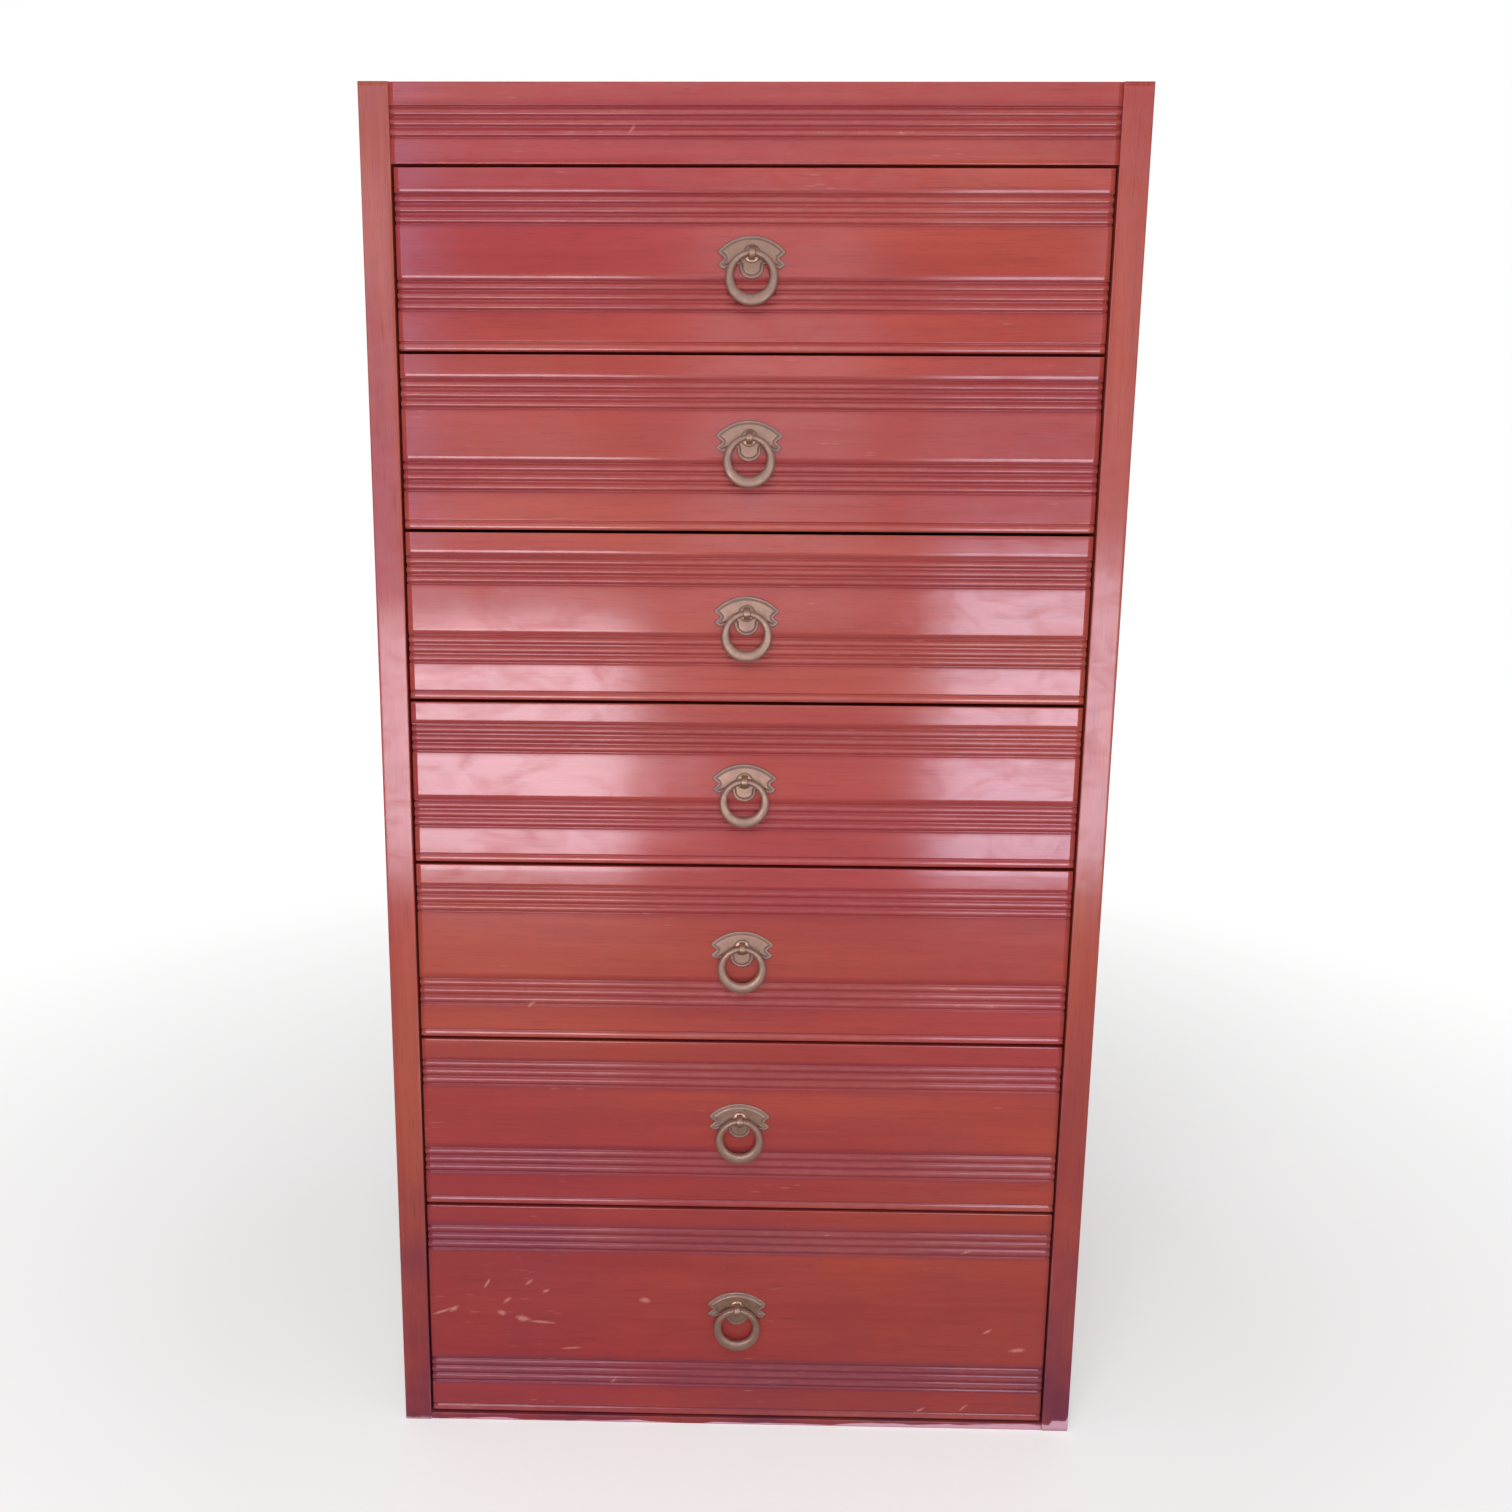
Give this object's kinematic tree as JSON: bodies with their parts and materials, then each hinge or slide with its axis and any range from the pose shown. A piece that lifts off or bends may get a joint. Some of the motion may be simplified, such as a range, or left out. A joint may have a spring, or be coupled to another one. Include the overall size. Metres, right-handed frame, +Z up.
{
  "type": "closet drawer insert",
  "caption": "Tall, narrow bank of drawers for the inside of a wardrobe: polished mahogany, reeded fronts, brass ring pulls, side-hung dovetailed drawers.",
  "frame": {"origin": "on the floor, at the middle of the case's footprint", "axes": "+Z up, -Y towards the person who opens the drawers, +X to that person's right"},
  "size_m": [0.57, 0.4605, 1.074],
  "materials": {
    "front_mahogany": "glossy red french polish over fine horizontal grain, dark in the grooves",
    "case_mahogany": "glossy red-orange polish, grain along the boards",
    "drawer_oak": "planed, unpolished, dry, aged to a warm brown",
    "drawer_panel": "planed thin board, unpolished",
    "secondary_wood": "sawn and planed pine, unpolished, dusty brown",
    "runner_hardwood": "planed hardwood, rubbed smooth by use",
    "brass": "old cast brass, tarnished in the hollows, rubbed bright on the rims",
    "iron": "dull wrought iron with a little rust"
  },
  "bodies": {
    "case": {"side_board_left": "case_mahogany", "side_board_right": "case_mahogany", "top_rail": "front_mahogany", "top_board": "secondary_wood", "bottom_board": "case_mahogany", "back_board_left": "secondary_wood", "back_board_middle": "secondary_wood", "back_board_right": "secondary_wood", "back_nails": "iron", "runners_left": "runner_hardwood", "runners_right": "runner_hardwood"},
    "drawer_1": {"drawer_1_front": "front_mahogany", "drawer_1_side_left": "drawer_oak", "drawer_1_side_right": "drawer_oak", "drawer_1_back": "drawer_oak", "drawer_1_bottom": "drawer_panel", "drawer_1_pull_plate": "brass"},
    "drawer_1_ring": {"drawer_1_pull_ring": "brass"},
    "drawer_2": {"drawer_2_front": "front_mahogany", "drawer_2_side_left": "drawer_oak", "drawer_2_side_right": "drawer_oak", "drawer_2_back": "drawer_oak", "drawer_2_bottom": "drawer_panel", "drawer_2_pull_plate": "brass"},
    "drawer_2_ring": {"drawer_2_pull_ring": "brass"},
    "drawer_3": {"drawer_3_front": "front_mahogany", "drawer_3_side_left": "drawer_oak", "drawer_3_side_right": "drawer_oak", "drawer_3_back": "drawer_oak", "drawer_3_bottom": "drawer_panel", "drawer_3_pull_plate": "brass"},
    "drawer_3_ring": {"drawer_3_pull_ring": "brass"},
    "drawer_4": {"drawer_4_front": "front_mahogany", "drawer_4_side_left": "drawer_oak", "drawer_4_side_right": "drawer_oak", "drawer_4_back": "drawer_oak", "drawer_4_bottom": "drawer_panel", "drawer_4_pull_plate": "brass"},
    "drawer_4_ring": {"drawer_4_pull_ring": "brass"},
    "drawer_5": {"drawer_5_front": "front_mahogany", "drawer_5_side_left": "drawer_oak", "drawer_5_side_right": "drawer_oak", "drawer_5_back": "drawer_oak", "drawer_5_bottom": "drawer_panel", "drawer_5_pull_plate": "brass"},
    "drawer_5_ring": {"drawer_5_pull_ring": "brass"},
    "drawer_6": {"drawer_6_front": "front_mahogany", "drawer_6_side_left": "drawer_oak", "drawer_6_side_right": "drawer_oak", "drawer_6_back": "drawer_oak", "drawer_6_bottom": "drawer_panel", "drawer_6_pull_plate": "brass"},
    "drawer_6_ring": {"drawer_6_pull_ring": "brass"},
    "drawer_7": {"drawer_7_front": "front_mahogany", "drawer_7_side_left": "drawer_oak", "drawer_7_side_right": "drawer_oak", "drawer_7_back": "drawer_oak", "drawer_7_bottom": "drawer_panel", "drawer_7_pull_plate": "brass"},
    "drawer_7_ring": {"drawer_7_pull_ring": "brass"}
  },
  "joints": [
    {"name": "drawer_1_slide", "type": "slide", "parent": "case", "child": "drawer_1", "axis": [0, -1, 0], "range_m": [0, 0.36]},
    {"name": "drawer_1_ring_swing", "type": "hinge", "parent": "drawer_1", "child": "drawer_1_ring", "pos_m": [0, -0.2307, 0.9568], "axis": [-1, 0, 0], "range_deg": [-4, 180]},
    {"name": "drawer_2_slide", "type": "slide", "parent": "case", "child": "drawer_2", "axis": [0, -1, 0], "range_m": [0, 0.36]},
    {"name": "drawer_2_ring_swing", "type": "hinge", "parent": "drawer_2", "child": "drawer_2_ring", "pos_m": [0, -0.2307, 0.8264], "axis": [-1, 0, 0], "range_deg": [-4, 180]},
    {"name": "drawer_3_slide", "type": "slide", "parent": "case", "child": "drawer_3", "axis": [0, -1, 0], "range_m": [0, 0.36]},
    {"name": "drawer_3_ring_swing", "type": "hinge", "parent": "drawer_3", "child": "drawer_3_ring", "pos_m": [0, -0.2307, 0.696], "axis": [-1, 0, 0], "range_deg": [-4, 180]},
    {"name": "drawer_4_slide", "type": "slide", "parent": "case", "child": "drawer_4", "axis": [0, -1, 0], "range_m": [0, 0.36]},
    {"name": "drawer_4_ring_swing", "type": "hinge", "parent": "drawer_4", "child": "drawer_4_ring", "pos_m": [0, -0.2307, 0.5656], "axis": [-1, 0, 0], "range_deg": [-4, 180]},
    {"name": "drawer_5_slide", "type": "slide", "parent": "case", "child": "drawer_5", "axis": [0, -1, 0], "range_m": [0, 0.36]},
    {"name": "drawer_5_ring_swing", "type": "hinge", "parent": "drawer_5", "child": "drawer_5_ring", "pos_m": [0, -0.2307, 0.4296], "axis": [-1, 0, 0], "range_deg": [-4, 180]},
    {"name": "drawer_6_slide", "type": "slide", "parent": "case", "child": "drawer_6", "axis": [0, -1, 0], "range_m": [0, 0.36]},
    {"name": "drawer_6_ring_swing", "type": "hinge", "parent": "drawer_6", "child": "drawer_6_ring", "pos_m": [0, -0.2307, 0.2822], "axis": [-1, 0, 0], "range_deg": [-4, 180]},
    {"name": "drawer_7_slide", "type": "slide", "parent": "case", "child": "drawer_7", "axis": [0, -1, 0], "range_m": [0, 0.36]},
    {"name": "drawer_7_ring_swing", "type": "hinge", "parent": "drawer_7", "child": "drawer_7_ring", "pos_m": [0, -0.2307, 0.1122], "axis": [-1, 0, 0], "range_deg": [-4, 180]}
  ]
}
